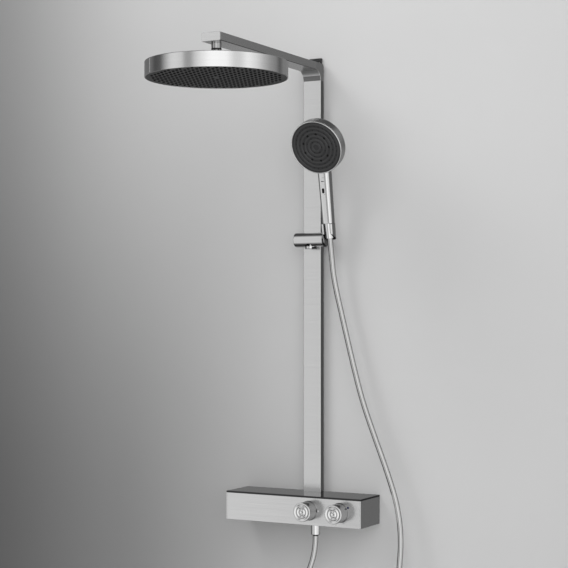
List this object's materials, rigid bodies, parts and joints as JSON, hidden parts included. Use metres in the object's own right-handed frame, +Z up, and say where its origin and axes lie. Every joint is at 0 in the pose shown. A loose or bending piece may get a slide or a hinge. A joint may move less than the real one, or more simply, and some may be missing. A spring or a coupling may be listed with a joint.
{
  "type": "exposed shower system",
  "caption": "Wall mounted shower system: thermostatic shelf mixer with knobs, flat column, overhead disc on an arm, sliding cradle, hand shower and a hanging hose.",
  "frame": {"origin": "on the wall plane, under the middle of the column, at half the shelf's height", "axes": "+X to the right along the wall, +Y into the wall, +Z up"},
  "size_m": [0.4596, 0.6035, 1.4791],
  "materials": {
    "brushed_metal": "fine brushed steel",
    "plated_plastic": "plastic with a brushed metal coat",
    "plated_brass": "brass with a brushed steel plating",
    "raw_brass": "bare machined brass",
    "dark_plastic": "black moulded plastic",
    "inner_plastic": "natural moulded plastic",
    "seal_rubber": "black silicone rubber",
    "small_steel": "plain stainless steel",
    "spray_face_plastic": "dark grey satin face",
    "hand_face_plastic": "dark grey moulded face",
    "shelf_glass": "dark back-coated glass",
    "hose_skin": "smooth silver hose skin",
    "white_paint": "white mark",
    "blue_paint": "blue mark"
  },
  "bodies": {
    "mixer_and_column": {"shelf_housing": "brushed_metal", "left_end_cap": "brushed_metal", "right_end_cap": "brushed_metal", "column_profile": "brushed_metal", "elbow": "brushed_metal", "arm_profile": "brushed_metal", "arm_end_cap": "brushed_metal", "knob_rosettes": "plated_brass", "outlet_hose_nut": "plated_brass", "mixer_body": "raw_brass", "inlet_unions": "raw_brass", "union_nuts": "raw_brass", "outlet_nipple": "raw_brass", "cartridge_nuts": "raw_brass", "upper_wall_bracket": "dark_plastic", "diverter_cartridge": "inner_plastic", "thermostatic_cartridge": "inner_plastic", "column_foot": "inner_plastic", "riser_tube": "inner_plastic", "outlet_washer": "seal_rubber", "wall_plate": "small_steel", "inlet_filters": "small_steel", "glass_shelf": "shelf_glass", "hose": "hose_skin", "volume_mark": "white_paint", "cold_mark": "blue_paint"},
    "volume_knob": {"volume_knob": "plated_brass", "volume_spindle": "raw_brass"},
    "temperature_knob": {"temperature_knob": "plated_brass", "temperature_spindle": "raw_brass", "stop_spring": "small_steel"},
    "stop_button": {"stop_button": "plated_plastic"},
    "head_swivel": {"ball_stud": "plated_brass"},
    "overhead_head": {"ball_seat": "dark_plastic", "swivel_collar": "plated_brass", "head_shell": "brushed_metal", "spray_plate": "spray_face_plastic", "nozzle_mat": "seal_rubber", "water_chamber": "inner_plastic", "flow_strainer": "small_steel", "head_screws": "small_steel"},
    "slider": {"slider_carriage": "dark_plastic", "brake_shoe": "seal_rubber", "glide_pads": "dark_plastic", "slider_cover": "plated_plastic", "slider_end_cap": "plated_plastic", "slider_pivot_plate": "plated_brass", "release_spring": "small_steel"},
    "release_button": {"release_button": "plated_plastic"},
    "cradle": {"cradle": "plated_plastic"},
    "hand_shower": {"hand_hose_nut": "plated_brass", "hand_washer": "seal_rubber", "hand_shell": "plated_plastic", "hand_trim_ring": "plated_plastic", "hand_spray_face": "hand_face_plastic", "hand_nozzle_mat": "seal_rubber", "spray_distributor": "inner_plastic", "hand_waterway": "inner_plastic", "select_spring": "small_steel"},
    "select_button": {"select_button": "plated_plastic"}
  },
  "joints": [
    {"name": "volume_turn", "type": "hinge", "parent": "mixer_and_column", "child": "volume_knob", "pos_m": [0.0315, -0.12, 0], "axis": [0, -1, 0], "range_deg": [-90, 90]},
    {"name": "temperature_turn", "type": "hinge", "parent": "mixer_and_column", "child": "temperature_knob", "pos_m": [0.1105, -0.12, 0], "axis": [0, -1, 0], "range_deg": [-120, 90]},
    {"name": "stop_press", "type": "slide", "parent": "temperature_knob", "child": "stop_button", "axis": [0, 0, 1], "range_m": [0, 0.002], "stiffness_N_per_m": 600, "springref_m": -0.003, "deforming": ["stop_spring"]},
    {"name": "head_turn", "type": "hinge", "parent": "mixer_and_column", "child": "head_swivel", "pos_m": [0, -0.4538, 0.988], "axis": [0, 0, 1], "continuous": true},
    {"name": "head_tilt", "type": "hinge", "parent": "head_swivel", "child": "overhead_head", "pos_m": [0, -0.4538, 0.988], "axis": [1, 0, 0], "range_deg": [-12, 12]},
    {"name": "slider_height", "type": "slide", "parent": "mixer_and_column", "child": "slider", "axis": [0, 0, 1], "range_m": [-0.36, 0.06], "deforming": ["hose"]},
    {"name": "release_press", "type": "slide", "parent": "slider", "child": "release_button", "axis": [0, 0, 1], "range_m": [0, 0.003], "stiffness_N_per_m": 900, "springref_m": -0.003, "deforming": ["release_spring"]},
    {"name": "cradle_tilt", "type": "hinge", "parent": "slider", "child": "cradle", "pos_m": [0.046, -0.0403, 0.621], "axis": [1, 0, 0], "range_deg": [-10, 20], "deforming": ["hose"]},
    {"name": "hand_lift", "type": "slide", "parent": "cradle", "child": "hand_shower", "axis": [0, -0.1771, 0.9842], "range_m": [0, 0.045], "deforming": ["hose"]},
    {"name": "select_press", "type": "slide", "parent": "hand_shower", "child": "select_button", "axis": [0, 0.9842, 0.1771], "range_m": [0, 0.0015], "stiffness_N_per_m": 1500, "springref_m": -0.002, "deforming": ["select_spring"]}
  ]
}
